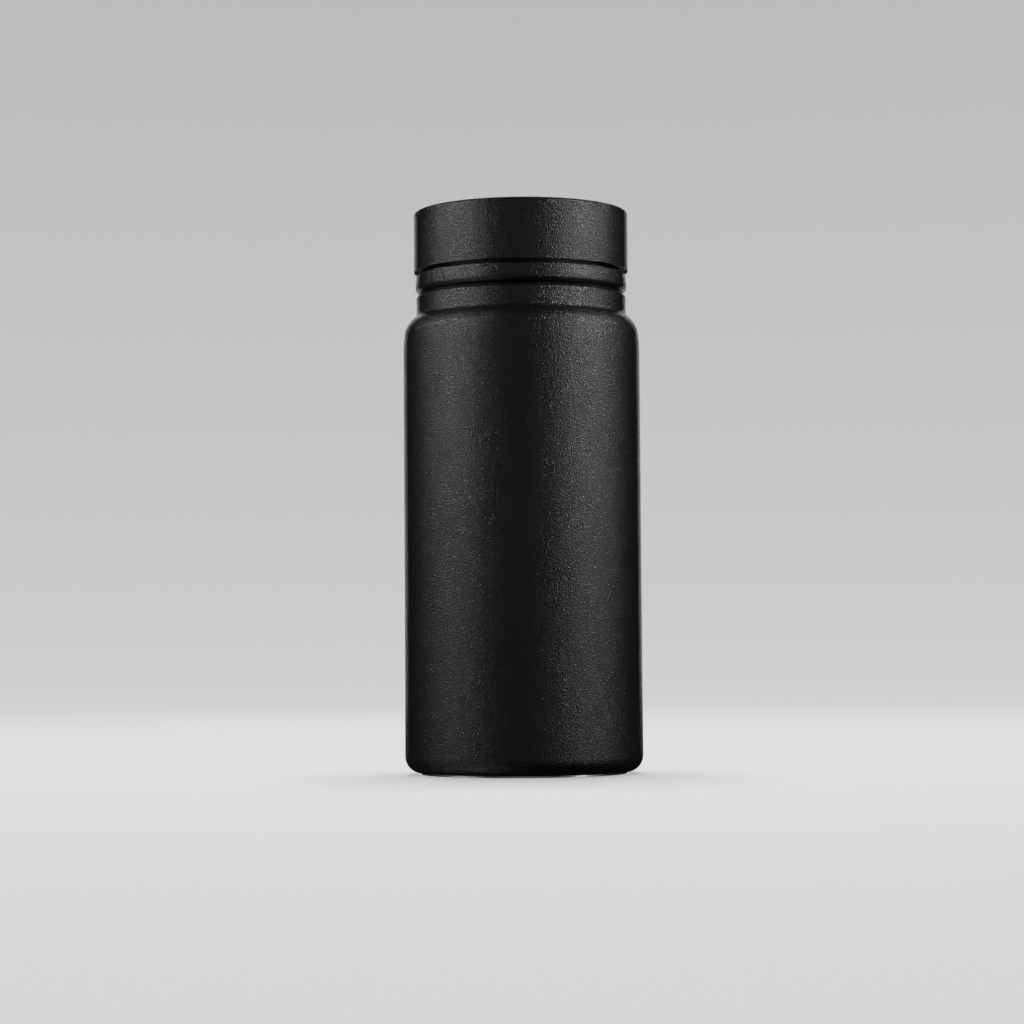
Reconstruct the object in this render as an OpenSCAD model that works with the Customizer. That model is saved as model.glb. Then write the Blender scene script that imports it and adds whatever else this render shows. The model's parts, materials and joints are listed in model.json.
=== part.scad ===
// Vacuum-insulated steel canister with a screw lid.
// +Z is up and the origin is the centre of the base, on the floor.
// Every round piece is turned about Z. The lid is drawn screwed down.

/* [Body] */
// Outside diameter of the body
body_d = 73; // [60:0.5:110]
// Height from the floor to the top of the bead under the lid
body_h = 153.7; // [110:0.1:260]
// Thickness of the coated outer wall
shell_wall = 0.6; // [0.4:0.05:0.9]
// Radius of the curve round the foot
foot_r = 5; // [2:0.5:8]
// Width of the ring at the foot that the body stands on, with the turned-in lip above it
foot_ring_w = 2.1; // [1.5:0.1:4]

/* [Shoulder and neck] */
// How far the shoulder steps in from the body to the band
shoulder_step = 4.1; // [2:0.1:9]
// Radius of the slow curve that leads into the shoulder
lead_in_r = 40; // [20:1:80]
// How far the slow curve turns, in degrees
lead_in_turn = 8; // [2:1:12]
// Radius of the shoulder's outer curve
shoulder_r = 7; // [4:0.5:12]
// Radius of the hollow curve between shoulder and band
hollow_r = 2; // [1:0.25:4]
// Height of the flat band above the shoulder
band_h = 4.7; // [2:0.1:8]
// Height of the groove above the band
groove_h = 1.5; // [1.2:0.1:3]
// Depth of the groove, whose lower side slopes in to meet the bead
groove_depth = 1.5; // [1:0.1:1.6]
// Height of the bead above the groove
bead_h = 5.5; // [3:0.1:8]
// How far the bead stands out past the band
bead_out = 0.25; // [0:0.05:0.6]
// Radius of the roll under the bead, at most as large as the groove is deep
bead_under_r = 1.5; // [1:0.1:1.6]
// Radius of the bead's crown, which leans in towards the lid
bead_crown_r = 24; // [12:1:60]
// Radius of the bead's top edge
bead_edge_r = 0.3; // [0.1:0.05:0.5]

/* [Inner vessel] */
// Thickness of the inner wall
vessel_wall = 0.5; // [0.3:0.05:0.8]
// Vacuum gap between the two walls along the body
vacuum_gap = 3.4; // [2:0.1:6]
// Vacuum gap between the threaded neck and the vessel's neck
neck_vacuum_gap = 2; // [1:0.1:3]
// Height of the vessel's floor above the floor it stands on
vessel_floor_z = 9; // [8.5:0.1:14]
// Radius of the curve round the vessel's floor
vessel_floor_r = 4; // [2:0.5:8]
// Height of the lap where the vessel's bottom is welded into its wall
weld_lap = 3; // [1:0.5:6]
// Radius of the vessel's shoulder
vessel_shoulder_r = 7; // [4:0.5:10]
// Radius of the hollow curve between the vessel's shoulder and neck
vessel_hollow_r = 5; // [2:0.5:8]
// Thickness of the copper foil round the vessel
foil_t = 0.15; // [0.1:0.05:0.3]
// Bare length of the vessel's wall above and below the foil
foil_margin = 8; // [4:1:20]

/* [Bottom] */
// Height of the outer bottom above the floor
bottom_z = 5.4; // [4.5:0.1:6]
// Radius of the curve round the outer bottom
bottom_r = 2; // [1:0.25:3]
// Thickness of the base cover
cover_wall = 0.5; // [0.3:0.05:0.8]
// Depth of the hollow in the base cover
cover_hollow = 2; // [1:0.1:2.5]
// Gap between the base cover and the outer bottom's skirt
cover_gap = 0.4; // [0.2:0.1:1]
// Diameter of the evacuation hole
port_d = 1.6; // [1:0.1:3]
// Diameter of the glass bead that seals the hole
bead_seal_d = 5; // [4:0.1:8]
// Height of the glass bead below the outer bottom
bead_seal_h = 0.8; // [0.5:0.1:1.2]
// Diameter of the getter pellet
getter_d = 7; // [5:0.1:10]
// Height of the getter pellet
getter_h = 1.4; // [1:0.1:2]
// Wall of the cup that holds the getter
getter_wall = 0.3; // [0.2:0.05:0.5]
// Distance of the getter from the centre
getter_offset = 14; // [9:0.5:20]

/* [Lid] */
// Outside height of the lid
lid_h = 18.4; // [15:0.1:30]
// How far the lid stands out past the band
lid_out = 0.7; // [0.3:0.05:1.5]
// Gap between the bead and the lid when it is screwed down
lid_gap = 1.1; // [0.5:0.1:2]
// Thickness of the coated lid shell
lid_wall = 0.6; // [0.4:0.05:0.9]
// Radius of the lid's top edge
lid_edge_r = 0.9; // [0.7:0.1:3]
// Wall of the moulded liner's skirt
liner_wall = 1.9; // [1.4:0.1:3]
// How far the liner's rim stays up inside the lid shell
liner_recess = 0.3; // [0:0.1:1]
// Thickness of the liner's deck, which presses the gasket
deck_h = 1.6; // [1:0.1:3]
// Thickness of the foam above the deck
foam_h = 3.2; // [2:0.1:8]
// Height of the flat gasket on the mouth
gasket_h = 1.5; // [1:0.1:3]
// Gap round the flat gasket's edges
gasket_gap = 0.2; // [0.1:0.05:0.5]
// How far the plug reaches below the mouth
plug_depth = 15; // [10:0.5:30]
// Gap between the plug and the mouth
plug_gap = 0.6; // [0.4:0.05:1]
// Wall of the plug
plug_wall = 1.6; // [1.2:0.1:2.5]
// Thickness of the plug's welded base
plug_base_h = 1.6; // [1.2:0.1:3]
// Thickness of the steel disc let into the plug's base
plug_disc_t = 0.5; // [0.3:0.1:0.8]
// Width of the plug base's rim round the steel disc
plug_rim_w = 1.8; // [1:0.1:3]
// Height of the finned seal round the plug
seal_h = 4; // [3:0.1:6]
// Depth of the seal's seat in the plug
seal_seat = 0.8; // [0.5:0.1:1]
// Distance from the plug's lower end up to the seal
seal_up = 3; // [2:0.1:6]
// Gap left between the seal's fins and the mouth
seal_clearance = 0.06; // [0.03:0.01:0.15]

/* [Thread] */
// Number of thread starts
thread_starts = 3; // [1:1:4]
// Rise of the lid in one turn
thread_lead = 12; // [9:0.5:16]
// Depth of the thread ribs
thread_depth = 1.2; // [0.8:0.1:1.6]
// Gap between the tips of one thread and the wall between the others
thread_gap = 0.4; // [0.2:0.05:0.6]
// Width of a rib at its root
rib_w = 1.9; // [1.4:0.1:2.2]
// Width of a rib at its tip
rib_tip_w = 0.9; // [0.5:0.1:1.2]
// Wall of the threaded neck
neck_wall = 0.6; // [0.4:0.05:1]
// Bare length of neck above and below the ribs
thread_margin = 1.1; // [0.8:0.1:2]
// How far each lid rib runs round
lid_rib_turn = 110; // [60:5:180]

/* [Hidden] */
$fn = 96;
arc_steps = 10;      // straight steps in a quarter of a turned outline's curves
rib_step = 7.5;      // degrees between the sections of a rib
rib_sink = 0.3;      // how deep a rib's root is sunk into its wall
rib_fade = 3;        // sections over which a rib's end grows to its full depth

// Body and neck, from the foot up
body_r = body_d / 2;
neck_r = body_r - shoulder_step;
lead_in_step = lead_in_r * (1 - cos(lead_in_turn));
shoulder_cos = (shoulder_r * cos(lead_in_turn) + hollow_r + lead_in_step - shoulder_step)
    / (shoulder_r + hollow_r);
shoulder_turn = acos(max(0, shoulder_cos));
bead_z = body_h - bead_h;
groove_z = bead_z - groove_h;
groove_slope = tan(atan(groove_depth / groove_h) / 2);
band_z = groove_z - band_h;
shoulder_z = band_z - (shoulder_r + hollow_r) * sin(shoulder_turn);
lead_in_z = shoulder_z - (lead_in_r - shoulder_r) * sin(lead_in_turn);
bead_r = neck_r + bead_out;
bead_roll_r = min(bead_under_r, groove_depth);
crown_z = bead_z + bead_roll_r;
crown_turn = asin((body_h - bead_edge_r - crown_z) / (bead_crown_r - bead_edge_r));
foot_z = cover_wall;
ring_out_r = body_r - foot_r;
lip_r = ring_out_r - foot_ring_w;

// Lid, from its outside in to the plug
lid_r = neck_r + lid_out;
lid_z = body_h + lid_gap;
lid_top_z = lid_z + lid_h;
liner_out_r = lid_r - lid_wall;
liner_bore_r = liner_out_r - liner_wall;
lid_tip_r = liner_bore_r - thread_depth;
neck_tip_r = liner_bore_r - thread_gap;
thread_root_r = neck_tip_r - thread_depth;
vessel_neck_r = thread_root_r - neck_wall - neck_vacuum_gap;
mouth_r = vessel_neck_r - vessel_wall;
plug_r = mouth_r - plug_gap;
plug_bore_r = plug_r - plug_wall;
foam_top_z = lid_top_z - lid_wall;
deck_top_z = foam_top_z - foam_h;
deck_z = deck_top_z - deck_h;
mouth_z = deck_z - gasket_h;
neck_top_z = mouth_z - vessel_wall;
plug_z = mouth_z - plug_depth;
plug_tube_z = plug_z + plug_base_h;
liner_z = lid_z + liner_recess;
seal_z = plug_tube_z + seal_up;

// Vessel and bottom
vessel_r = body_r - shell_wall - vacuum_gap;
vessel_turn = vessel_r - vessel_neck_r < vessel_shoulder_r + vessel_hollow_r
    ? acos(1 - (vessel_r - vessel_neck_r) / (vessel_shoulder_r + vessel_hollow_r)) : 90;
vessel_shoulder_z = shoulder_z - vacuum_gap;
vessel_neck_z = vessel_shoulder_z + (vessel_shoulder_r + vessel_hollow_r) * sin(vessel_turn);
vessel_wall_z = vessel_floor_z + vessel_floor_r;
cover_r = lip_r - shell_wall - cover_gap;

// Thread
thread_pitch = thread_lead / thread_starts;
neck_rib_z = body_h + thread_margin + rib_w / 2;
neck_rib_turn = (neck_top_z - thread_margin - rib_w / 2 - neck_rib_z) / thread_lead * 360;
lid_rib_z = liner_z + thread_margin / 2 + rib_w / 2;
lid_rib_angle = (lid_rib_z - neck_rib_z + thread_pitch / 2) / thread_lead * 360;

// Points along an arc from angle a0 to a1 about the centre c
function arc(c, r, a0, a1) =
    let (n = max(2, ceil(abs(a1 - a0) / 90 * arc_steps)))
    [for (i = [0:n]) let (a = a0 + (a1 - a0) * i / n) c + r * [cos(a), sin(a)]];

function reversed(points) = [for (i = [len(points) - 1:-1:0]) points[i]];

// A piece of sheet between an outer line and an inner line, turned about Z
module turned_sheet(outer, inner) {
    rotate_extrude() polygon(concat(outer, reversed(inner)));
}

module turned(points) {
    rotate_extrude() polygon(points);
}

module tube(r_out, r_in, z_low, z_high) {
    translate([0, 0, z_low]) difference() {
        cylinder(r = r_out, h = z_high - z_low);
        translate([0, 0, -1]) cylinder(r = r_in, h = z_high - z_low + 2);
    }
}

// A helical rib: root_r is its sunk root, tip_r its tip, inside or outside the root.
// It starts at angle a0 and height z0 and rises with the thread's lead.
module helical_rib(root_r, tip_r, a0, z0, turn) {
    n = max(4, ceil(turn / rib_step));
    outward = tip_r > root_r;
    points = [
        for (i = [0:n])
            let (
                a = a0 + turn * i / n,
                z = z0 + thread_lead * turn * i / n / 360,
                grown = min(1, 0.1 + 0.9 * min(i, n - i) / rib_fade),
                tip = root_r + (tip_r - root_r) * grown
            )
            each [
                [root_r * cos(a), root_r * sin(a), z - rib_w / 2],
                [tip * cos(a), tip * sin(a), z - rib_tip_w / 2],
                [tip * cos(a), tip * sin(a), z + rib_tip_w / 2],
                [root_r * cos(a), root_r * sin(a), z + rib_w / 2]
            ]
    ];
    sides = [
        for (i = [0:n - 1], j = [0:3])
            let (p = 4 * i + j, q = 4 * i + (j + 1) % 4)
            each [[p, q, q + 4], [p, q + 4, p + 4]]
    ];
    ends = [[0, 3, 2], [0, 2, 1], [4 * n, 4 * n + 1, 4 * n + 2], [4 * n, 4 * n + 2, 4 * n + 3]];
    faces = concat(sides, ends);
    polyhedron(points, outward ? faces : [for (f = faces) reversed(f)]);
}

module ribs(root_r, tip_r, a0, z0, turn) {
    for (k = [0:thread_starts - 1])
        helical_rib(root_r, tip_r, a0 + k * 360 / thread_starts, z0, turn);
}

// The outer wall's line at the depth t below its coated face, from the foot lip to the neck
function shell_line(t) = concat(
    [[lip_r, foot_z + t]],
    arc([body_r - foot_r, foot_z + foot_r], foot_r - t, -90, 0),
    arc([body_r - lead_in_r, lead_in_z], lead_in_r - t, 0, lead_in_turn),
    arc([body_r - lead_in_step - shoulder_r * cos(lead_in_turn), shoulder_z],
        shoulder_r - t, lead_in_turn, shoulder_turn),
    arc([neck_r + hollow_r, band_z], hollow_r + t, 180 + shoulder_turn, 180),
    [
        [neck_r - t, groove_z - t * groove_slope],
        if (t > 0) [neck_r - groove_depth - t, bead_z - t * groove_slope],
        [neck_r - groove_depth - t, bead_z + t]
    ],
    arc([bead_r - bead_roll_r, crown_z], bead_roll_r - t, -90, 0),
    arc([bead_r - bead_crown_r, crown_z], bead_crown_r - t, 0,
        t == 0 ? crown_turn : asin((body_h - t - crown_z) / (bead_crown_r - t))),
    t > 0 ? [] : arc(
        [bead_r - bead_crown_r + (bead_crown_r - bead_edge_r) * cos(crown_turn), body_h - bead_edge_r],
        bead_edge_r, crown_turn, 90),
    [[thread_root_r, body_h - t]]
);

module outer_shell() {
    color("#1b1c1f") turned_sheet(shell_line(0), shell_line(shell_wall));
}

// Steel neck with its rolled thread, welded into the top of the outer shell
module threaded_neck() {
    color("#b9bbbd") union() {
        tube(thread_root_r, thread_root_r - neck_wall, bead_z + shell_wall, neck_top_z);
        ribs(thread_root_r - rib_sink, neck_tip_r, 0, neck_rib_z, neck_rib_turn);
    }
}

// The vessel wall's line at the depth t inside its vacuum face
function vessel_line(t) = concat(
    [[vessel_r - t, vessel_wall_z]],
    arc([vessel_r - vessel_shoulder_r, vessel_shoulder_z], vessel_shoulder_r - t, 0, vessel_turn),
    arc([vessel_neck_r + vessel_hollow_r, vessel_neck_z], vessel_hollow_r + t, 180 + vessel_turn, 180)
);

module inner_vessel() {
    lip_round = vessel_wall;
    color("#c4c5c6") turned_sheet(
        concat(vessel_line(0), [
            [vessel_neck_r, neck_top_z],
            [thread_root_r, neck_top_z],
            [thread_root_r, mouth_z]
        ]),
        concat(vessel_line(vessel_wall),
            arc([mouth_r + lip_round, mouth_z - lip_round], lip_round, 180, 90))
    );
}

module inner_bottom() {
    wall_r = vessel_r - vessel_wall;
    centre = [wall_r - vessel_floor_r, vessel_wall_z];
    color("#c4c5c6") turned_sheet(
        concat([[0, vessel_floor_z]], arc(centre, vessel_floor_r, -90, 0),
            [[wall_r, vessel_wall_z + weld_lap]]),
        concat([[0, vessel_floor_z + vessel_wall]],
            arc(centre, vessel_floor_r - vessel_wall, -90, 0),
            [[wall_r - vessel_wall, vessel_wall_z + weld_lap]])
    );
}

module radiation_foil() {
    color("#b06a3b") tube(vessel_r + foil_t, vessel_r,
        vessel_wall_z + foil_margin, vessel_shoulder_z - foil_margin);
}

// The outer bottom's line at the height t above its lower face
function bottom_line(t) = concat(
    [[port_d / 2, bottom_z + t]],
    arc([lip_r - shell_wall - bottom_r, bottom_z - bottom_r], bottom_r + t, 90, 0),
    [[lip_r - shell_wall + t, foot_z]]
);

module outer_bottom() {
    color("#b3b4b5") turned_sheet(bottom_line(shell_wall), bottom_line(0));
}

// Solder glass: a stem in the evacuation hole and a bead below it
module seal_bead() {
    color("#6d7b6a") turned([
        [0, bottom_z - bead_seal_h],
        [bead_seal_d / 4, bottom_z - bead_seal_h],
        [bead_seal_d / 2, bottom_z],
        [port_d / 2, bottom_z],
        [port_d / 2, bottom_z + shell_wall],
        [0, bottom_z + shell_wall]
    ]);
}

// A small cup on the vacuum side of the outer bottom
module getter_holder() {
    color("#a9aaac") translate([getter_offset, 0, bottom_z + shell_wall]) difference() {
        cylinder(d = getter_d + 2 * getter_wall, h = getter_h + getter_wall);
        translate([0, 0, getter_wall]) cylinder(d = getter_d, h = getter_h + 1);
    }
}

module getter_pellet() {
    color("#55565a") translate([getter_offset, 0, bottom_z + shell_wall + getter_wall])
        cylinder(d = getter_d, h = getter_h);
}

// Pressed cover under the base: the body stands on its ring
module base_cover() {
    color("#c9cacb") turned_sheet(
        [
            [0, cover_hollow],
            [cover_r - cover_wall, cover_hollow],
            [cover_r - cover_wall, 0],
            [ring_out_r, 0]
        ],
        [
            [0, cover_hollow + cover_wall],
            [cover_r, cover_hollow + cover_wall],
            [cover_r, cover_wall],
            [ring_out_r, cover_wall]
        ]
    );
}

// Flat ring on the mouth, under the liner's deck
module rim_gasket() {
    color("#7d7f80") tube(lid_tip_r + thread_depth / 2, plug_r + gasket_gap, mouth_z, deck_z);
}

module lid_shell() {
    centre = [lid_r - lid_edge_r, lid_top_z - lid_edge_r];
    color("#1b1c1f") turned_sheet(
        concat([[0, lid_top_z]], arc(centre, lid_edge_r, 90, 0), [[lid_r, lid_z]]),
        concat([[0, foam_top_z]], arc(centre, lid_edge_r - lid_wall, 90, 0), [[liner_out_r, lid_z]])
    );
}

// Foam disc over the deck, and the foam column that fills the plug
module lid_foam() {
    color("#d9d6cc") turned([
        [0, plug_tube_z],
        [plug_bore_r, plug_tube_z],
        [plug_bore_r, deck_top_z],
        [liner_bore_r, deck_top_z],
        [liner_bore_r, foam_top_z],
        [0, foam_top_z]
    ]);
}

// One moulding: the skirt with the thread, the deck, and the plug's tube with the seal's seat
module lid_liner() {
    skirt_top_z = lid_top_z - lid_edge_r;
    color("#26272a") union() {
        turned([
            [liner_out_r, liner_z],
            [liner_out_r, skirt_top_z],
            [liner_bore_r, skirt_top_z],
            [liner_bore_r, deck_top_z],
            [plug_bore_r, deck_top_z],
            [plug_bore_r, plug_tube_z],
            [plug_r, plug_tube_z],
            [plug_r, seal_z],
            [plug_r - seal_seat, seal_z],
            [plug_r - seal_seat, seal_z + seal_h],
            [plug_r, seal_z + seal_h],
            [plug_r, deck_z],
            [liner_bore_r, deck_z],
            [liner_bore_r, liner_z]
        ]);
        ribs(liner_bore_r + rib_sink, lid_tip_r, lid_rib_angle, lid_rib_z, lid_rib_turn);
    }
}

// Silicone ring in the plug's seat, with two fins that wipe the mouth
module plug_seal() {
    seat_r = plug_r - seal_seat;
    fin_r = mouth_r - seal_clearance;
    fin_h = seal_h / 4;
    color("#8a8c8d") turned([
        [seat_r, seal_z],
        [plug_r, seal_z],
        [fin_r, seal_z + fin_h],
        [fin_r, seal_z + fin_h * 1.3],
        [plug_r, seal_z + fin_h * 1.6],
        [plug_r, seal_z + fin_h * 2.4],
        [fin_r, seal_z + fin_h * 3],
        [fin_r, seal_z + fin_h * 3.3],
        [plug_r, seal_z + seal_h],
        [seat_r, seal_z + seal_h]
    ]);
}

// Base welded to the plug's tube, hollowed below for the steel disc
module plug_base() {
    color("#26272a") turned([
        [0, plug_z + plug_disc_t],
        [plug_r - plug_rim_w, plug_z + plug_disc_t],
        [plug_r - plug_rim_w, plug_z],
        [plug_r - plug_disc_t, plug_z],
        [plug_r, plug_z + plug_disc_t],
        [plug_r, plug_tube_z],
        [0, plug_tube_z]
    ]);
}

module plug_disc() {
    color("#c9cacb") translate([0, 0, plug_z]) cylinder(r = plug_r - plug_rim_w, h = plug_disc_t);
}

outer_shell();
threaded_neck();
inner_vessel();
inner_bottom();
radiation_foil();
outer_bottom();
seal_bead();
getter_holder();
getter_pellet();
base_cover();
rim_gasket();
lid_shell();
lid_foam();
lid_liner();
plug_seal();
plug_base();
plug_disc();
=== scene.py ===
# %% [markdown]
# # An insulated canister with a screw lid
# The canister is a double-walled steel flask: a powder-coated outer wall, a bare inner
# vessel, a threaded neck between them, and a lid that carries a foam-filled plug. This
# lesson builds its visible surfaces round a fixed model that holds every size and joint.
# Almost every piece is turned on a lathe or pressed from a round sheet, so one pair of
# helpers makes them: one turns a solid from its outline, the other turns a thin sheet.

# %% Load the fixed model
import json
import math

import bmesh
import bpy
from mathutils import Matrix, Vector

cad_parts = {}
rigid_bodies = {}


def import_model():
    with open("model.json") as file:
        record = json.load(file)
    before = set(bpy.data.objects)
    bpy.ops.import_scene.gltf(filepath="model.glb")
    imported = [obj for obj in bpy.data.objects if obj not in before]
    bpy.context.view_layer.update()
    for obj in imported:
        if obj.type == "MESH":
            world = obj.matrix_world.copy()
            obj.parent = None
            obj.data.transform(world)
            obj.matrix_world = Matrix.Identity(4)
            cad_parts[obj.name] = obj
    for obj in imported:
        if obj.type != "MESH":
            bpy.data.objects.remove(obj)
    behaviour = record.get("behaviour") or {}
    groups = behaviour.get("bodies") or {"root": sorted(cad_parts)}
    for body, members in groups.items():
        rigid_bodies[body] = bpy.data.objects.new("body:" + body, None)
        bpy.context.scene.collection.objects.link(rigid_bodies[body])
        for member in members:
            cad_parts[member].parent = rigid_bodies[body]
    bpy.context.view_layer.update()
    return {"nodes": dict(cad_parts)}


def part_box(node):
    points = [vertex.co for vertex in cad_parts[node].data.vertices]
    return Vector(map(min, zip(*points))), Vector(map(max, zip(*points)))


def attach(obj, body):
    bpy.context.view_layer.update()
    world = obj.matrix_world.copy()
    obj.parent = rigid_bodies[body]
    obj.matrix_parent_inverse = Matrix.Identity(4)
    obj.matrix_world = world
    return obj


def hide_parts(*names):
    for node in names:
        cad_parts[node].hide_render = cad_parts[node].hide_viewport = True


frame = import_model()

# %% [markdown]
# ## Sizes
# The fixed model gives the outer sizes, so they are read from its boxes. What a box
# can't tell, such as how round a corner is, is written here or beside the one piece that
# needs it, in millimetres.

# %% Read the sizes
MM = 0.001


def reach(node):
    """A round node's outer radius, its lowest height and its highest height, in mm."""
    low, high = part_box(node)
    return high[0] / MM, low[2] / MM, high[2] / MM


body_r, foot_z, bead_top_z = reach("outer_shell")
lid_r, lid_z, lid_top_z = reach("lid_shell")
ring_r, floor_z, cover_top_z = reach("base_cover")
neck_tip_r, neck_z, neck_top_z = reach("threaded_neck")
vessel_r, vessel_z, _ = reach("inner_vessel")
_, _, foil_top_z = reach("radiation_foil")
dish_r, dish_z, dish_top_z = reach("inner_bottom")
gasket_r, gasket_z, gasket_top_z = reach("rim_gasket")
liner_r, _, liner_top_z = reach("lid_liner")
seal_r, seal_z, seal_top_z = reach("plug_seal")
plug_r, plug_z, plug_tube_z = reach("plug_base")
disc_r, disc_z, disc_top_z = reach("plug_disc")
print(f"body {2 * body_r:.1f} mm across, lid {2 * lid_r:.1f} mm, {lid_top_z:.1f} mm tall")

# %% Name the sizes that a box can't give
coat_wall, vessel_wall, cover_wall, neck_wall = 0.6, 0.5, 0.5, 0.6
foot_round, lip_r, shoulder_step = 5.0, 29.4, 4.1
lead_in_round, lead_in_turn, shoulder_round, hollow_round = 40.0, 8.0, 7.0, 2.0
band_h, groove_h, groove_depth = 4.7, 1.5, 1.5
band_edge, bead_h, bead_out, bead_under = 0.45, 5.5, 0.25, 1.5
bead_crown, bead_edge = 24.0, 0.3
vessel_neck_r, vessel_shoulder_round, vessel_hollow_round = 26.4, 7.0, 5.0
foil_margin = 8.0
thread_root_r = 29.0
thread_lead, thread_starts, rib_w, rib_tip_w, thread_depth = 12.0, 3, 1.9, 0.9, 1.2

# %% [markdown]
# ## Turning
# An outline is a few corners, each with its own rounding. A vertex bevel turns a corner
# into an arc: the bevel is measured along the two edges, so an arc of radius r through a
# turn of t degrees needs r * tan(t / 2). A spin about Z then sweeps the line round, and
# the doubled points on the axis are merged. Bare corners stay crisp, because the mesh
# marks every edge over 32 degrees as sharp and smooths the rest. A sheet is open, so the
# way its normals point is a guess of Blender's, and the guess decides which side of the
# outline the wall is on. It is on the inside for the body, the lid and the dish.

# %% Outline helpers
SPIN_STEPS = 192
DEGREES_PER_STEP = 7.5
SHARP_DEGREES = 32
MERGE = 0.0005 * MM
JUST_UNDER = 0.999  # two bevels that use up one edge must not quite meet


def turn_at(before, here, after):
    """How sharply the outline turns at a corner, in radians."""
    return (here - before).angle(after - here)


def draw_outline(bm, corners, closed):
    """Edges through (radius, height, rounding) corners in mm, with the roundings bevelled in."""
    points = [Vector((r, 0, z)) * MM for r, z, _ in corners]
    verts = [bm.verts.new(point) for point in points]
    ring = verts + verts[:1] if closed else verts
    for a, b in zip(ring, ring[1:]):
        bm.edges.new((a, b))
    for i, (_, _, rounding) in enumerate(corners):
        if rounding <= 0:
            continue
        turn = turn_at(points[i - 1], points[i], points[(i + 1) % len(points)])
        bmesh.ops.bevel(
            bm, geom=[verts[i]], offset=rounding * MM * math.tan(turn / 2),
            offset_type="OFFSET", segments=max(2, round(math.degrees(turn) / DEGREES_PER_STEP)),
            profile=0.5, affect="VERTICES", material=-1, clamp_overlap=False)


def spin_round(bm):
    """Sweeps every edge once round Z and closes the seam and the poles."""
    bmesh.ops.spin(
        bm, geom=bm.verts[:] + bm.edges[:], cent=(0, 0, 0), axis=(0, 0, 1),
        angle=math.tau, steps=SPIN_STEPS, use_merge=True, use_duplicate=False)
    bmesh.ops.remove_doubles(bm, verts=bm.verts[:], dist=MERGE)
    bmesh.ops.recalc_face_normals(bm, faces=bm.faces[:])


def finish_piece(bm, name, body, node, material):
    """Turns the bmesh into a piece that rides on a body and stands for a node."""
    mesh = bpy.data.meshes.new(name)
    bm.to_mesh(mesh)
    bm.free()
    mesh.shade_smooth()
    mesh.set_sharp_from_angle(angle=math.radians(SHARP_DEGREES))
    mesh.materials.append(material)
    piece = bpy.data.objects.new(name, mesh)
    bpy.context.scene.collection.objects.link(piece)
    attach(piece, body)
    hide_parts(node)
    print(f"{name}: {len(mesh.vertices)} points, {len(mesh.polygons)} faces")
    return piece


def turned_solid(corners, closed=True):
    """A solid of revolution. An outline that starts and ends on the axis isn't closed."""
    bm = bmesh.new()
    draw_outline(bm, corners, closed)
    spin_round(bm)
    return bm


def turned_sheet(corners, wall):
    """A round pressing: its outline is one face, and the wall grows against the normals."""
    bm = bmesh.new()
    draw_outline(bm, corners, closed=False)
    spin_round(bm)
    bmesh.ops.solidify(bm, geom=bm.faces[:], thickness=wall * MM)
    return bm


# %% [markdown]
# ## Finishes
# Every finish is made of nodes that read Object coordinates, which are metres here. A
# noise scale of 3000 therefore draws grains of about a third of a millimetre.

# %% Material helpers
PATTERN_LOW, PATTERN_HIGH = 0.3, 0.7


def new_material(name, **sockets):
    """A Principled material with its plain values set, and handles to its nodes."""
    material = bpy.data.materials.new(name)
    material.use_nodes = True
    tree = material.node_tree
    shader = tree.nodes["Principled BSDF"]
    for socket, value in sockets.items():
        shader.inputs[socket.replace("_", " ")].default_value = value
    coords = tree.nodes.new("ShaderNodeTexCoord")
    return material, tree, shader, coords.outputs["Object"]


def noise(tree, vector, scale, detail=2.0, roughness=0.5):
    """A noise pattern's value, from 0 to 1."""
    node = tree.nodes.new("ShaderNodeTexNoise")
    node.inputs["Scale"].default_value = scale
    node.inputs["Detail"].default_value = detail
    node.inputs["Roughness"].default_value = roughness
    tree.links.new(vector, node.inputs["Vector"])
    return node.outputs["Fac"]


def spread(tree, value, low, high):
    """Maps a pattern's middle range on to low..high."""
    node = tree.nodes.new("ShaderNodeMapRange")
    node.inputs["From Min"].default_value = PATTERN_LOW
    node.inputs["From Max"].default_value = PATTERN_HIGH
    node.inputs["To Min"].default_value = low
    node.inputs["To Max"].default_value = high
    tree.links.new(value, node.inputs["Value"])
    return node.outputs["Result"]


def two_tone(tree, value, dark, light):
    """Mixes two colours by a pattern."""
    ramp = tree.nodes.new("ShaderNodeValToRGB")
    ramp.color_ramp.elements[0].position = PATTERN_LOW
    ramp.color_ramp.elements[0].color = (*dark, 1)
    ramp.color_ramp.elements[1].position = PATTERN_HIGH
    ramp.color_ramp.elements[1].color = (*light, 1)
    tree.links.new(value, ramp.inputs["Fac"])
    return ramp.outputs["Color"]


def bump(tree, shader, height, depth_mm, under=None):
    """Raises a pattern by depth_mm, over another bump if one is given."""
    node = tree.nodes.new("ShaderNodeBump")
    node.inputs["Strength"].default_value = 1.0
    node.inputs["Distance"].default_value = depth_mm * MM
    tree.links.new(height, node.inputs["Height"])
    if under is not None:
        tree.links.new(under, node.inputs["Normal"])
    tree.links.new(node.outputs["Normal"], shader.inputs["Normal"])
    return node.outputs["Normal"]


# %% [markdown]
# ### Powder coat
# Powder is sprayed dry and melted on, which leaves a fine grain like the skin of an
# orange. It looks matte because the grain scatters light, and the film itself keeps some
# gloss. Two grains are laid over each other: one of about a third of a millimetre that
# sparkles in the highlights, and a shallow one of about half that size. Slow clouds vary
# the gloss a little, as where the powder lay thicker. The black is slightly blue.

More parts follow.
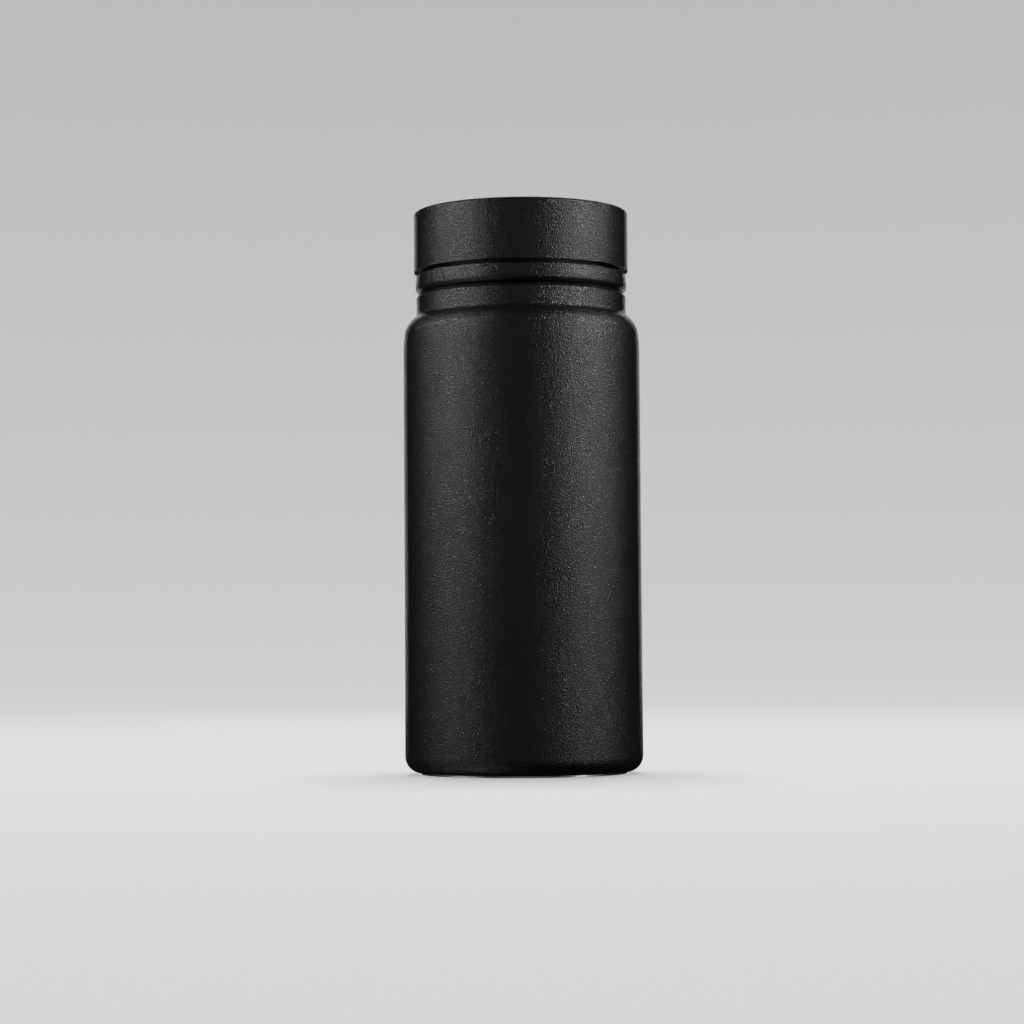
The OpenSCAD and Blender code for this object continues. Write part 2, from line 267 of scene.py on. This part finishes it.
# %% Powder coat
def powder_coat():
    material, tree, shader, coords = new_material(
        "black_powder_coat", Roughness=0.3, IOR=1.5)
    grain = noise(tree, coords, 3100, detail=0.5)
    fine = noise(tree, coords, 5600, detail=0.0)
    cloud = noise(tree, coords, 60, detail=3.0)
    colour = two_tone(tree, grain, (0.003, 0.0032, 0.0042), (0.0058, 0.006, 0.0074))
    tree.links.new(colour, shader.inputs["Base Color"])
    tree.links.new(spread(tree, cloud, 0.29, 0.32), shader.inputs["Roughness"])
    first = bump(tree, shader, grain, 0.2)
    bump(tree, shader, fine, 0.02, under=first)
    return material


coat = powder_coat()
print("powder coat ready")

# %% [markdown]
# ### Steel
# Bare stainless steel shows the tool that finished it. A turned wall has fine rings that
# depend only on height, and a spun disc has rings that depend only on distance from the
# centre. Both come from a noise that is read along one line.

# %% Steel
def ring_coordinate(tree, coords, along):
    """Height for a wall, or distance from the axis for a disc, as a vector along X."""
    split = tree.nodes.new("ShaderNodeSeparateXYZ")
    tree.links.new(coords, split.inputs["Vector"])
    join = tree.nodes.new("ShaderNodeCombineXYZ")
    if along == "height":
        tree.links.new(split.outputs["Z"], join.inputs["X"])
        return join.outputs["Vector"]
    flat = tree.nodes.new("ShaderNodeCombineXYZ")
    tree.links.new(split.outputs["X"], flat.inputs["X"])
    tree.links.new(split.outputs["Y"], flat.inputs["Y"])
    length = tree.nodes.new("ShaderNodeVectorMath")
    length.operation = "LENGTH"
    tree.links.new(flat.outputs["Vector"], length.inputs["Vector"])
    tree.links.new(length.outputs["Value"], join.inputs["X"])
    tree.links.new(split.outputs["Z"], join.inputs["Y"])
    return join.outputs["Vector"]


def steel(name, along, roughness):
    material, tree, shader, coords = new_material(
        name, Metallic=1.0, Roughness=roughness)
    rings = noise(tree, ring_coordinate(tree, coords, along), 3000, detail=4.0, roughness=0.7)
    cloud = noise(tree, coords, 45, detail=3.0)
    colour = two_tone(tree, cloud, (0.53, 0.53, 0.535), (0.6, 0.6, 0.6))
    tree.links.new(colour, shader.inputs["Base Color"])
    gloss = spread(tree, rings, roughness - 0.05, roughness + 0.07)
    tree.links.new(gloss, shader.inputs["Roughness"])
    bump(tree, shader, rings, 0.004)
    return material


wall_steel = steel("turned_steel", "height", 0.3)
disc_steel = steel("spun_steel", "radius", 0.32)
print("steel ready")

# %% [markdown]
# ### Moulded and soft parts
# The liner is polypropylene from a mould with a fine spark-eroded texture. Silicone is
# softer: it scatters light, and its surface has a faint powdery haze. The foam is made
# of beads, so it takes a cell pattern, and the copper foil is creased by hand.

# %% Plastic, silicone, foam, foil, glass and getter
def liner_plastic():
    material, tree, shader, coords = new_material("moulded_polypropylene", Roughness=0.42, IOR=1.49)
    texture = noise(tree, coords, 3200, detail=2.0)
    cloud = noise(tree, coords, 90)
    colour = two_tone(tree, cloud, (0.016, 0.0162, 0.017), (0.022, 0.0222, 0.0235))
    tree.links.new(colour, shader.inputs["Base Color"])
    tree.links.new(spread(tree, texture, 0.38, 0.47), shader.inputs["Roughness"])
    bump(tree, shader, texture, 0.008)
    return material


def silicone():
    material, tree, shader, coords = new_material("soft_silicone", Roughness=0.5, IOR=1.41)
    haze = noise(tree, coords, 260, detail=4.0)
    colour = two_tone(tree, haze, (0.26, 0.27, 0.275), (0.32, 0.33, 0.335))
    tree.links.new(colour, shader.inputs["Base Color"])
    tree.links.new(spread(tree, haze, 0.44, 0.6), shader.inputs["Roughness"])
    bump(tree, shader, noise(tree, coords, 1800, detail=2.0), 0.004)
    return material


def bead_foam():
    material, tree, shader, coords = new_material("bead_foam", Roughness=0.85)
    cells = tree.nodes.new("ShaderNodeTexVoronoi")
    cells.inputs["Scale"].default_value = 420
    tree.links.new(coords, cells.inputs["Vector"])
    colour = two_tone(tree, cells.outputs["Distance"], (0.78, 0.76, 0.7), (0.62, 0.6, 0.54))
    tree.links.new(colour, shader.inputs["Base Color"])
    bump(tree, shader, cells.outputs["Distance"], -0.25)
    return material


def copper_foil():
    material, tree, shader, coords = new_material("creased_copper", Metallic=1.0, Roughness=0.26)
    creases = noise(tree, coords, 140, detail=6.0, roughness=0.65)
    colour = two_tone(tree, creases, (0.62, 0.29, 0.17), (0.78, 0.42, 0.27))
    tree.links.new(colour, shader.inputs["Base Color"])
    tree.links.new(spread(tree, creases, 0.2, 0.36), shader.inputs["Roughness"])
    bump(tree, shader, creases, 0.12)
    return material


def solder_glass():
    material, tree, shader, coords = new_material("fused_glass", Roughness=0.22, IOR=1.6)
    swirl = noise(tree, coords, 700, detail=3.0)
    colour = two_tone(tree, swirl, (0.11, 0.14, 0.11), (0.18, 0.22, 0.17))
    tree.links.new(colour, shader.inputs["Base Color"])
    tree.links.new(spread(tree, swirl, 0.16, 0.34), shader.inputs["Roughness"])
    bump(tree, shader, swirl, 0.03)
    return material


def sintered_getter():
    material, tree, shader, coords = new_material("sintered_getter", Metallic=0.6, Roughness=0.7)
    grain = noise(tree, coords, 5200, detail=3.0)
    colour = two_tone(tree, grain, (0.07, 0.07, 0.075), (0.16, 0.16, 0.165))
    tree.links.new(colour, shader.inputs["Base Color"])
    tree.links.new(spread(tree, grain, 0.6, 0.8), shader.inputs["Roughness"])
    bump(tree, shader, grain, 0.03)
    return material


plastic = liner_plastic()
rubber = silicone()
print("plastic and silicone ready")

# %% [markdown]
# ## The coated body
# The outer wall is one tube, drawn in at the shoulder and rolled into a band, a groove
# and a bead. The shoulder is a chain of three arcs that touch: a slow one that leads in,
# a tight one, and a small hollow the other way. A chain is walked like a path, and each
# arc leaves one corner for the bevel to round. How far the shoulder turns follows from
# its step: the three arcs together have to end exactly at the band.

# %% Coated body
def direction(heading):
    """One step towards a heading in degrees. 0 is straight up, and positive leans inwards."""
    return Vector((-math.sin(math.radians(heading)), math.cos(math.radians(heading))))


def walk_arcs(place, arcs, heading=0.0):
    """Corners for a chain of (radius, turn) arcs, and its end. Heading 0 is straight up."""
    place = Vector(place)
    corners = []
    for radius, turn in arcs:
        half = radius * math.tan(math.radians(abs(turn)) / 2)
        place += half * direction(heading)
        corners.append((place.x, place.y, radius * JUST_UNDER))
        heading += turn
        place += half * direction(heading)
    return corners, place


def turn_for_step(step, outer_round, inner_round, lead_in=0.0):
    """The turn, in degrees, at which an outer and a hollow arc step in by this much."""
    flat = outer_round * math.cos(math.radians(lead_in)) + inner_round - step
    return math.degrees(math.acos(flat / (outer_round + inner_round)))


band_r = body_r - shoulder_step
groove_r = band_r - groove_depth
bead_r = band_r + bead_out
bead_z = bead_top_z - bead_h
groove_z = bead_z - groove_h
band_z = groove_z - band_h

lead_in_step = lead_in_round * (1 - math.cos(math.radians(lead_in_turn)))
shoulder_turn = turn_for_step(
    shoulder_step - lead_in_step, shoulder_round, hollow_round, lead_in_turn)
shoulder_arcs = [
    (lead_in_round, lead_in_turn),
    (shoulder_round, shoulder_turn - lead_in_turn),
    (hollow_round, -shoulder_turn),
]
shoulder_end = walk_arcs((body_r, 0), shoulder_arcs)[1]
shoulder_corners = walk_arcs((body_r, band_z - shoulder_end.y), shoulder_arcs)[0]

crown_turn = math.degrees(math.asin(
    (bead_h - bead_edge - bead_under) / (bead_crown - bead_edge)))
bead_corners, bead_end = walk_arcs(
    (bead_r, bead_z + bead_under), [(bead_crown, crown_turn), (bead_edge, 90 - crown_turn)])
print(f"shoulder turns {shoulder_turn:.1f} degrees, bead ends at {bead_end.y:.2f} mm")

body_corners = [
    (lip_r, foot_z, 0),
    (body_r, foot_z, foot_round),
    *shoulder_corners,
    (band_r, groove_z, band_edge),
    (groove_r, bead_z, 0),
    (bead_r, bead_z, bead_under * JUST_UNDER),
    *bead_corners,
    (thread_root_r, bead_top_z, 0),
]
finish_piece(
    turned_sheet(body_corners, coat_wall), "coated_body", "canister", "outer_shell",
    coat)

# %% [markdown]
# ## The lid's shell
# The lid's shell is a plain deep-drawn cup with a small radius at the top edge and a
# trimmed lower edge. Its sheet is as thick as the body's.

# %% Lid shell
lid_edge_round = 0.9
lid_corners = [
    (0, lid_top_z, 0),
    (lid_r, lid_top_z, lid_edge_round),
    (lid_r, lid_z, 0),
]
finish_piece(
    turned_sheet(lid_corners, coat_wall), "coated_lid", "lid", "lid_shell",
    coat)

# %% [markdown]
# ## The base cover
# A bare steel pressing closes the foot. The canister stands on its flat ring, and the
# hollow inside keeps the rest off the table. Its two faces are rounded differently, so
# the outline goes round both of them and is turned as a solid.

# %% Base cover
hollow_r = 27.9
hollow_z = cover_top_z - cover_wall
cover_corners = [
    (0, hollow_z, 0),
    (hollow_r, hollow_z, 0.5),
    (hollow_r, floor_z, 0.4),
    (ring_r, floor_z, 0.1),
    (ring_r, floor_z + cover_wall, 0),
    (hollow_r + cover_wall, floor_z + cover_wall, 0.2),
    (hollow_r + cover_wall, cover_top_z, 0.3),
    (0, cover_top_z, 0),
]
finish_piece(
    turned_solid(cover_corners, closed=False), "pressed_base", "canister", "base_cover",
    disc_steel)

# %% [markdown]
# ## The vessel
# The inner vessel holds the food. Its wall is drawn in to a neck, and the neck ends in a
# flange that is welded to the threaded neck. A dish closes its lower end. Both outlines
# follow the side that faces the vacuum in the fixed model. The dish's wall grows inwards
# from there, as it should. The vessel's normals come out pointing inwards, so its wall
# grows outwards instead, and it is half a millimetre too wide.

# %% Vessel wall and dish
vessel_turn = turn_for_step(
    vessel_r - vessel_neck_r, vessel_shoulder_round, vessel_hollow_round)
vessel_shoulder, vessel_end = walk_arcs(
    (vessel_r, foil_top_z + foil_margin),
    [(vessel_shoulder_round, vessel_turn), (vessel_hollow_round, -vessel_turn)])
print(f"the vessel's neck starts at {vessel_end.y:.1f} mm")
vessel_corners = [
    (vessel_r, vessel_z, 0),
    *vessel_shoulder,
    (vessel_neck_r, neck_top_z, 0.15),
    (thread_root_r, neck_top_z, 0),
]
finish_piece(
    turned_sheet(vessel_corners, vessel_wall), "steel_vessel", "canister", "inner_vessel",
    wall_steel)
dish_corners = [
    (0, dish_z, 0),
    (dish_r, dish_z, 4.0),
    (dish_r, dish_top_z, 0),
]
finish_piece(
    turned_sheet(dish_corners, vessel_wall), "vessel_dish", "canister", "inner_bottom",
    disc_steel)

# %% [markdown]
# ## Threads
# The neck and the lid share a coarse thread with three starts, so less than a turn frees
# the lid. A rib is a small rounded outline that a spin carries round while it also climbs.
# The rib's ends sink back into the wall, as a rolled thread's do.

# %% Rib helper
RIB_STEP_DEGREES = 2.5
rib_edge = 0.25


def add_ribs(bm, root_r, tip_r, start_turn, start_z, turn):
    """Adds one helical rib for each start of the thread, in degrees and mm."""
    for start in range(thread_starts):
        rib = bmesh.new()
        draw_outline(rib, [
            (root_r, -rib_w / 2, 0), (tip_r, -rib_tip_w / 2, rib_edge),
            (tip_r, rib_tip_w / 2, rib_edge), (root_r, rib_w / 2, 0)], closed=True)
        steps = round(turn / RIB_STEP_DEGREES)
        bmesh.ops.spin(
            rib, geom=rib.verts[:] + rib.edges[:], cent=(0, 0, 0), axis=(0, 0, 1),
            dvec=(0, 0, thread_lead * MM * turn / 360 / steps), angle=math.radians(turn),
            steps=steps, use_merge=False, use_duplicate=False)
        bmesh.ops.holes_fill(rib, edges=[e for e in rib.edges if e.is_boundary], sides=0)
        bmesh.ops.recalc_face_normals(rib, faces=rib.faces[:])
        sink_rib_ends(rib, root_r * MM, math.radians(turn))
        place = Matrix.Translation((0, 0, start_z * MM)) @ Matrix.Rotation(
            math.radians(start_turn + start * 360 / thread_starts), 4, "Z")
        bmesh.ops.transform(rib, matrix=place, verts=rib.verts[:])
        scratch = bpy.data.meshes.new("rib")
        rib.to_mesh(scratch)
        rib.free()
        bm.from_mesh(scratch)
        bpy.data.meshes.remove(scratch)


def sink_rib_ends(rib, root_r, turn, fade=math.radians(20), start=0.08):
    """Lowers the first and last 20 degrees of a rib smoothly into its wall."""
    for vert in rib.verts:
        angle = math.atan2(vert.co.y, vert.co.x)
        from_middle = abs((angle - turn / 2 + math.pi) % math.tau - math.pi)
        to_end = max(0, turn / 2 - from_middle)
        grown = math.sin(math.pi / 2 * min(1, start + to_end / fade))
        radius = vert.co.xy.length
        scale = (root_r + (radius - root_r) * grown) / radius
        vert.co.x *= scale
        vert.co.y *= scale


# %% [markdown]
# ## The threaded neck
# The neck is a short rolled tube between the bead and the mouth. Its lower end is welded
# under the bead and its upper end under the vessel's flange. The powder coat runs over
# the bead and a little way up the neck, which keeps the gap under the lid black and not
# steel. A flat cut at the coat's edge lets the faces below it take the coat.

# %% Threaded neck
rib_sink = 0.3
thread_margin = 1.1
coat_line_margin = 1.9
coat_line_z = bead_top_z + coat_line_margin
neck_rib_z = bead_top_z + thread_margin + rib_w / 2
neck_rib_turn = (neck_top_z - thread_margin - rib_w / 2 - neck_rib_z) / thread_lead * 360
neck_bm = turned_solid([
    (thread_root_r - neck_wall, neck_z, 0),
    (thread_root_r, neck_z, 0),
    (thread_root_r, neck_top_z, 0),
    (thread_root_r - neck_wall, neck_top_z, 0),
])
add_ribs(neck_bm, thread_root_r - rib_sink, neck_tip_r, 0, neck_rib_z, neck_rib_turn)
bmesh.ops.bisect_plane(
    neck_bm, geom=neck_bm.verts[:] + neck_bm.edges[:] + neck_bm.faces[:],
    plane_co=(0, 0, coat_line_z * MM), plane_no=(0, 0, 1), dist=MERGE)
rolled_neck = finish_piece(
    neck_bm, "rolled_neck", "canister", "threaded_neck", wall_steel)
rolled_neck.data.materials.append(coat)
# Faces below the coat line take the powder coat, which keeps the gap under the lid dark.
for face in rolled_neck.data.polygons:
    face.material_index = 1 if face.center.z < coat_line_z * MM else 0
coated_faces = sum(face.material_index for face in rolled_neck.data.polygons)
print("neck faces in the coat:", coated_faces)

# %% [markdown]
# ## The liner
# One moulding makes the skirt that carries the lid's thread, the deck that presses on the
# gasket, and the tube of the plug. Every mould edge gets a small radius, because a sharp
# edge would neither fill nor release.

# %% Lid liner
liner_wall, plug_wall, deck_h, seal_seat, liner_recess = 1.9, 1.6, 1.6, 0.8, 0.3
liner_z = lid_z + liner_recess
liner_bore_r = liner_r - liner_wall
plug_bore_r = plug_r - plug_wall
deck_z = gasket_top_z
liner_bm = turned_solid([
    (liner_r, liner_z, 0.3),
    (liner_r, liner_top_z, 0),
    (liner_bore_r, liner_top_z, 0),
    (liner_bore_r, deck_z + deck_h, 0.2),
    (plug_bore_r, deck_z + deck_h, 0.2),
    (plug_bore_r, plug_tube_z, 0),
    (plug_r, plug_tube_z, 0),
    (plug_r, seal_z, 0.15),
    (plug_r - seal_seat, seal_z, 0.1),
    (plug_r - seal_seat, seal_top_z, 0.1),
    (plug_r, seal_top_z, 0.15),
    (plug_r, deck_z, 0.2),
    (liner_bore_r, deck_z, 0.5),
    (liner_bore_r, liner_z, 0.3),
])
lid_rib_z = liner_z + thread_margin / 2 + rib_w / 2
lid_rib_start = (lid_rib_z - neck_rib_z + thread_lead / thread_starts / 2) / thread_lead * 360
lid_rib_turn = 110
add_ribs(liner_bm, liner_bore_r + rib_sink, liner_bore_r - thread_depth,
         lid_rib_start, lid_rib_z, lid_rib_turn)
finish_piece(
    liner_bm, "moulded_liner", "lid", "lid_liner", plastic)

# %% [markdown]
# ## Seals and plug
# The flat gasket seals on the flange, and the finned ring wipes the mouth's wall. The
# plug is closed by a welded base with a steel disc let into it.

# %% Gasket, plug seal, plug base and disc
gasket_play, plug_bevel = 0.2, 0.5
finish_piece(turned_solid([
    (plug_r + gasket_play, gasket_z, 0.25),
    (gasket_r, gasket_z, 0.35),
    (gasket_r, gasket_top_z, 0.35),
    (plug_r + gasket_play, gasket_top_z, 0.25),
]), "flat_gasket", "gasket", "rim_gasket", rubber)

seal_seat_r = plug_r - seal_seat
fin_h = (seal_top_z - seal_z) / 4
finish_piece(turned_solid([
    (seal_seat_r, seal_z, 0.1),
    (plug_r, seal_z, 0.1),
    (seal_r, seal_z + fin_h, 0.12),
    (seal_r, seal_z + fin_h * 1.3, 0.1),
    (plug_r, seal_z + fin_h * 1.6, 0.2),
    (plug_r, seal_z + fin_h * 2.4, 0.2),
    (seal_r, seal_z + fin_h * 3, 0.12),
    (seal_r, seal_z + fin_h * 3.3, 0.1),
    (plug_r, seal_top_z, 0.1),
    (seal_seat_r, seal_top_z, 0.1),
]), "finned_seal", "lid", "plug_seal", rubber)

finish_piece(turned_solid([
    (0, disc_top_z, 0),
    (disc_r, disc_top_z, 0),
    (disc_r, plug_z, 0.1),
    (plug_r - plug_bevel, plug_z, 0.3),
    (plug_r, plug_z + plug_bevel, 0.3),
    (plug_r, plug_tube_z, 0),
    (0, plug_tube_z, 0),
], closed=False), "welded_plug_base", "lid", "plug_base", plastic)

finish_piece(turned_solid([
    (0, disc_z, 0),
    (disc_r, disc_z, 0.15),
    (disc_r, disc_top_z, 0),
    (0, disc_top_z, 0),
], closed=False), "let_in_disc", "lid", "plug_disc", disc_steel)

# %% [markdown]
# ## Hidden pieces
# What lies in the vacuum and in the lid keeps the fixed model's own shape, and only gets
# its finish.

# %% Finish the hidden pieces
hidden_finishes = {
    "radiation_foil": copper_foil(),
    "outer_bottom": disc_steel,
    "seal_bead": solder_glass(),
    "getter_holder": wall_steel,
    "getter_pellet": sintered_getter(),
    "lid_foam": bead_foam(),
}
for node, material in hidden_finishes.items():
    for material_slot in frame["nodes"][node].material_slots:
        material_slot.link = "OBJECT"
        material_slot.material = material
    print(node, "is", material.name)

# %% [markdown]
# ## Floor and backdrop
# A round pale sheet lies under the canister and curves up all round it, so no side shows
# a hard horizon. It glows a little, which keeps it fairly even in tone, and it is kept
# out of the gloss, because a black coat would otherwise mirror it along its edges. It
# casts no shadow either, so a light can reach the foot from below.

# %% Pale round sweep
def pale_paper():
    material, tree, shader, coords = new_material("pale_paper", Roughness=0.9)
    fibre = noise(tree, coords, 900, detail=3.0)
    colour = two_tone(tree, fibre, (0.73, 0.725, 0.71), (0.77, 0.765, 0.75))
    tree.links.new(colour, shader.inputs["Base Color"])
    tree.links.new(colour, shader.inputs["Emission Color"])
    shader.inputs["Emission Strength"].default_value = 0.62
    bump(tree, shader, fibre, 0.05)
    return material


sweep_z, sweep_r, sweep_bend, sweep_top_z = -0.1, 2600, 1500, 2800
sweep_bm = bmesh.new()
draw_outline(sweep_bm, [
    (0, sweep_z, 0), (sweep_r, sweep_z, sweep_bend), (sweep_r, sweep_top_z, 0)], closed=False)
spin_round(sweep_bm)
bmesh.ops.reverse_faces(sweep_bm, faces=sweep_bm.faces[:])
sweep_mesh = bpy.data.meshes.new("pale_sweep")
sweep_bm.to_mesh(sweep_mesh)
sweep_bm.free()
sweep_mesh.shade_smooth()
sweep_mesh.materials.append(pale_paper())
sweep = bpy.data.objects.new("pale_sweep", sweep_mesh)
bpy.context.scene.collection.objects.link(sweep)
sweep.visible_glossy = False
sweep.visible_diffuse = False
sweep.visible_shadow = False
print("sweep ready,", len(sweep_mesh.polygons), "faces")

# %% [markdown]
# ## Lights
# Tall soft strips stand left and right of the camera. A matte cylinder draws each of them
# as one long band. A second, higher strip on each side is for what leans upwards: the
# shoulder, the bead and the lid's top edge. A short low strip on each side brightens the
# lower part of the body, and one below the floor on the left draws the curve of the foot.
# A dim panel behind the camera fills the middle, and dim lights behind and above keep the
# other sides from going black. Light linking lets all of these light the canister alone,
# and one overhead panel light the floor alone.

# %% Softboxes
canister_only = bpy.data.collections.new("canister_only")
floor_only = bpy.data.collections.new("floor_only")
floor_only.objects.link(sweep)
for piece in bpy.context.scene.objects:
    if piece.type == "MESH" and piece != sweep:
        canister_only.objects.link(piece)


def softbox(name, bearing, distance, low_z, high_z, width, power, tilt=0, lit=canister_only):
    """A panel that faces the canister. Bearing 0 is the camera's side, positive is right."""
    light = bpy.data.lights.new(name, "AREA")
    light.shape = "RECTANGLE"
    light.size = width
    light.size_y = high_z - low_z
    light.energy = power
    box = bpy.data.objects.new(name, light)
    angle = math.radians(bearing)
    middle_z = (low_z + high_z) / 2
    box.location = (distance * math.sin(angle), -distance * math.cos(angle), middle_z)
    box.rotation_euler = (math.radians(90 + tilt), 0, angle)
    box.visible_camera = False
    box.light_linking.receiver_collection = lit
    bpy.context.scene.collection.objects.link(box)
    print(f"{name}: bearing {bearing}, {power} W")


# name, bearing, distance, lowest and highest height, width, watts; metres and degrees
softbox("left_strip", -73, 0.9, -0.05, 0.75, 0.22, 1.4)
softbox("left_high_strip", -80, 0.9, 0.5, 0.75, 0.18, 4.8, tilt=-28)
softbox("left_low_strip", -73, 0.9, -0.05, 0.1, 0.22, 0.75)
softbox("right_strip", 67, 0.9, -0.05, 0.75, 0.22, 1.6)
softbox("right_high_strip", 76, 0.9, 0.5, 0.75, 0.18, 6.4, tilt=-28)
softbox("right_low_strip", 65, 0.9, -0.05, 0.1, 0.22, 0.45)
softbox("left_foot_strip", -75, 0.6, -0.85, -0.5, 0.2, 0.9, tilt=48)
softbox("front_fill", 0, 1.6, -0.3, 1.3, 1.6, 1.6)
softbox("left_back_strip", -168, 1.2, 0.0, 0.7, 0.3, 1.2)
softbox("right_back_strip", 168, 1.2, 0.0, 0.7, 0.3, 1.2)
softbox("back_top", 180, 0.5, 0.9, 1.3, 0.6, 0.4, tilt=-62)
softbox("floor_light", 180, 0.3, 1.3, 2.1, 0.8, 12.0, tilt=-80, lit=floor_only)

world = bpy.data.worlds.new("dim_room")
world.use_nodes = True
world.node_tree.nodes["Background"].inputs["Color"].default_value = (0.5, 0.52, 0.56, 1)
world.node_tree.nodes["Background"].inputs["Strength"].default_value = 0.013
bpy.context.scene.world = world
bpy.context.scene.view_settings.view_transform = "Standard"

# %% [markdown]
# ## Camera
# A long lens looks at the canister from the side. It stands low, at about a fifth of the
# canister's height, and is tilted up by three degrees. The canister leans by less than
# half a degree in the frame.

# %% Camera
camera_at = (-0.00326, -0.85, 0.037)
tilt_up, lean = 2.93, -0.4
camera_data = bpy.data.cameras.new("camera")
camera_data.sensor_width = 36
camera_data.lens = 96.9
camera = bpy.data.objects.new("camera", camera_data)
camera_place = Matrix.Translation(camera_at)
camera_tilt = Matrix.Rotation(math.radians(90 + tilt_up), 4, "X")
camera_roll = Matrix.Rotation(math.radians(lean), 4, "Z")
camera.matrix_world = camera_place @ camera_tilt @ camera_roll
bpy.context.scene.collection.objects.link(camera)
bpy.context.scene.camera = camera
print("camera at", [round(c, 4) for c in camera.matrix_world.translation])
